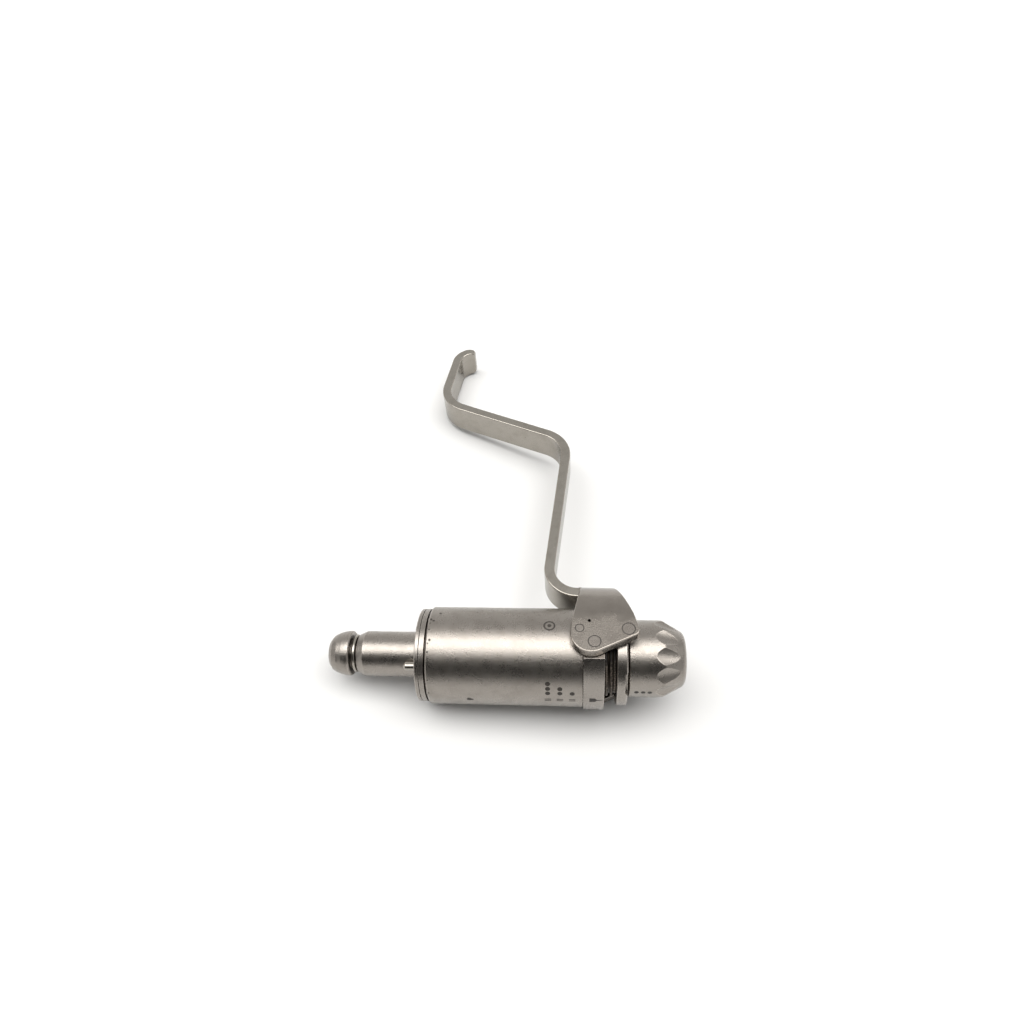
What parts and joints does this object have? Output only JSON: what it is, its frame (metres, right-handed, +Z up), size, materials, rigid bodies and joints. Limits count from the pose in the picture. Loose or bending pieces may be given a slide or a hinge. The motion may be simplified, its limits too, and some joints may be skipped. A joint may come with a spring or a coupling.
{
  "type": "wire driver attachment",
  "caption": "Straight cannulated wire driver attachment for a surgical power tool, with a clamping lever on a fork, a sliding drive ring and a fluted range knob.",
  "frame": {"origin": "on the main axis, at the rear seat face of the flange behind the barrel", "axes": "+X along the main axis towards the nose, +Y towards the tip of the clamping lever, +Z up out of the lever's plane as the part lies on a table"},
  "size_m": [0.0923, 0.1328, 0.031],
  "materials": {
    "blasted_steel": "bead-blasted satin with fine wear",
    "satin_steel": "fine ground satin",
    "polished_steel": "semi-polished, bevelled edges",
    "bearing_steel": "polished hardened steel",
    "dark_steel": "dark oxide, oiled",
    "spring_steel": "drawn wire",
    "seal_rubber": "matte black"
  },
  "bodies": {
    "housing": {"coupling_shank": "blasted_steel", "coupling_snap_ring": "polished_steel", "locating_pin": "polished_steel", "rear_flange": "satin_steel", "flange_ring": "satin_steel", "barrel": "blasted_steel", "rear_bearing_outer": "bearing_steel", "rear_bearing_balls": "bearing_steel", "bearing_spacer": "satin_steel", "front_bearing_outer": "bearing_steel", "front_bearing_balls": "bearing_steel", "bearing_nut": "satin_steel", "shaft_seal": "seal_rubber", "lever_collar": "satin_steel", "guide_sleeve": "dark_steel", "return_spring": "spring_steel", "detent_ball": "bearing_steel", "detent_spring": "spring_steel", "knob_circlip": "spring_steel"},
    "lever": {"lever_fork": "satin_steel", "lever_strap": "polished_steel", "pivot_pins": "polished_steel", "drive_pins": "polished_steel", "stop_pins": "polished_steel"},
    "ring": {"drive_ring": "satin_steel", "shift_pins": "polished_steel", "thrust_carrier": "dark_steel", "thrust_balls": "bearing_steel"},
    "knob": {"range_knob": "blasted_steel", "nose_bush": "dark_steel"},
    "spindle": {"drive_shaft": "satin_steel", "collet_body": "satin_steel", "rear_bearing_inner": "bearing_steel", "front_bearing_inner": "bearing_steel", "jaw_spring": "spring_steel"},
    "closer": {"closing_sleeve": "dark_steel", "thrust_washer": "bearing_steel"},
    "jaw_a": {"jaw_1": "bearing_steel"},
    "jaw_b": {"jaw_2": "bearing_steel"},
    "jaw_c": {"jaw_3": "bearing_steel"}
  },
  "joints": [
    {"name": "lever_swing", "type": "hinge", "parent": "housing", "child": "lever", "pos_m": [0.0448, -0.004, 0], "axis": [0, 0, 1], "range_deg": [0, 15], "stiffness_Nm_per_rad": 1.2, "springref_deg": -5.73},
    {"name": "ring_slide", "type": "slide", "parent": "housing", "child": "ring", "axis": [1, 0, 0], "range_m": [-0.00122, 0], "deforming": ["return_spring"]},
    {"name": "knob_turn", "type": "hinge", "parent": "housing", "child": "knob", "pos_m": [0.06, 0, 0], "axis": [1, 0, 0], "range_deg": [-72, 0]},
    {"name": "spindle_spin", "type": "hinge", "parent": "housing", "child": "spindle", "pos_m": [0.02, 0, 0], "axis": [1, 0, 0], "continuous": true},
    {"name": "closer_slide", "type": "slide", "parent": "spindle", "child": "closer", "axis": [1, 0, 0], "range_m": [-0.00122, 0], "deforming": ["jaw_spring"]},
    {"name": "jaw_a_grip", "type": "slide", "parent": "spindle", "child": "jaw_a", "axis": [0, 0, 1], "range_m": [-0.00036, 0]},
    {"name": "jaw_b_grip", "type": "slide", "parent": "spindle", "child": "jaw_b", "axis": [0, -0.866, -0.5], "range_m": [-0.00036, 0]},
    {"name": "jaw_c_grip", "type": "slide", "parent": "spindle", "child": "jaw_c", "axis": [0, 0.866, -0.5], "range_m": [-0.00036, 0]}
  ],
  "couplings": [
    {"joint": "ring_slide", "follows": "lever_swing", "m_per_rad": -0.00464},
    {"joint": "closer_slide", "follows": "lever_swing", "m_per_rad": -0.00464},
    {"joint": "jaw_a_grip", "follows": "lever_swing", "m_per_rad": -0.00134},
    {"joint": "jaw_b_grip", "follows": "lever_swing", "m_per_rad": -0.00134},
    {"joint": "jaw_c_grip", "follows": "lever_swing", "m_per_rad": -0.00134}
  ]
}
